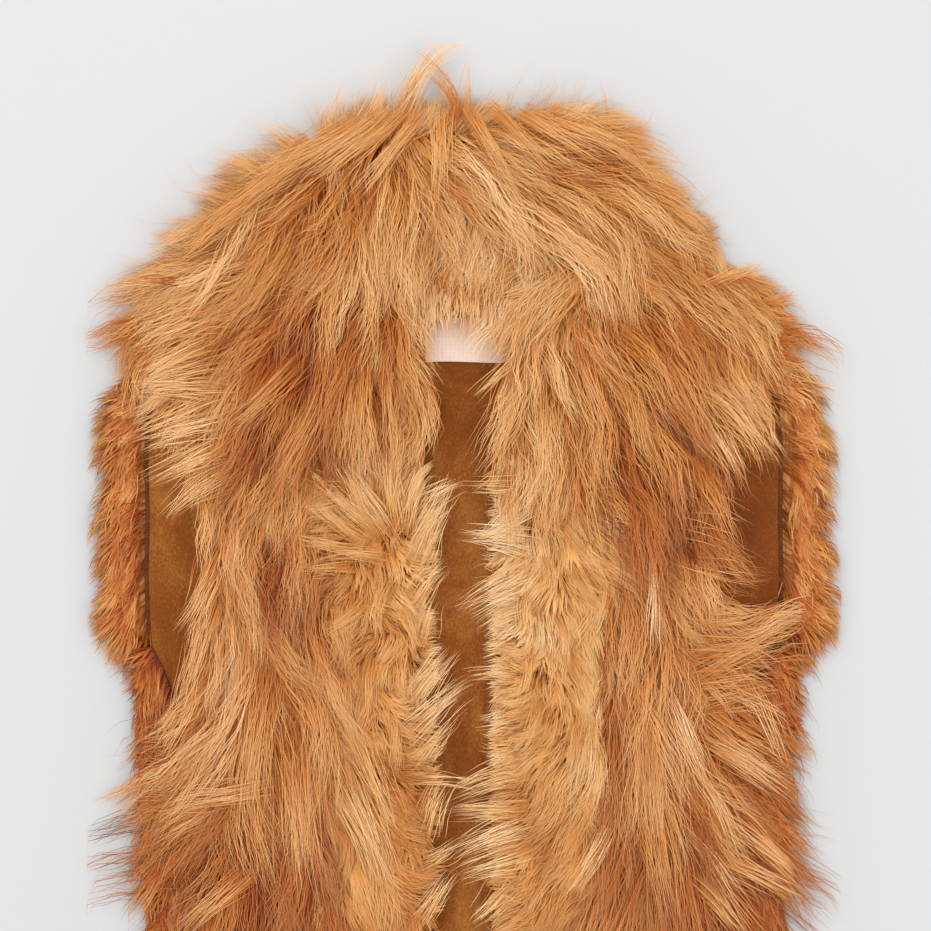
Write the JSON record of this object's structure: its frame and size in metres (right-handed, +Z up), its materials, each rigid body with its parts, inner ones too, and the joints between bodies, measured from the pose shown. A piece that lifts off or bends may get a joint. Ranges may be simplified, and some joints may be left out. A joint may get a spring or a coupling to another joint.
{
  "type": "faux fur vest",
  "caption": "Open sleeveless vest of long-haired faux fur with a wide shaggy shawl collar, brown suede-like lining and a bare neck label, laid flat on its back.",
  "frame": {"origin": "on the surface that the vest lies on, under the middle of its bounding box", "axes": "+X to the right side as seen from above, +Y towards the collar, +Z up from the surface"},
  "size_m": [0.472, 0.83, 0.061],
  "materials": {
    "long_fur": "long golden-brown faux fur, rust at the roots and pale at the tips",
    "band_fur": "shorter, curlier and paler golden faux fur",
    "collar_fur": "long wavy golden faux fur",
    "fur_cloth": "knitted backing of the faux fur",
    "suede_lining": "brown brushed suede-like cloth",
    "label_cotton": "off-white cotton, bare"
  },
  "bodies": {
    "root": {"back": "fur_cloth", "back_pile": "long_fur", "back_lining": "suede_lining", "neck_label": "label_cotton", "side_panel_left": "fur_cloth", "side_panel_right": "fur_cloth", "side_pile_left": "long_fur", "side_pile_right": "long_fur", "front_left": "fur_cloth", "front_right": "fur_cloth", "front_pile_left": "long_fur", "front_pile_right": "long_fur", "front_band_left": "fur_cloth", "front_band_right": "fur_cloth", "band_pile_left": "band_fur", "band_pile_right": "band_fur", "lapel_left": "fur_cloth", "lapel_right": "fur_cloth", "lapel_pile_left": "collar_fur", "lapel_pile_right": "collar_fur", "collar_back": "fur_cloth", "collar_pile": "collar_fur"}
  },
  "joints": []
}
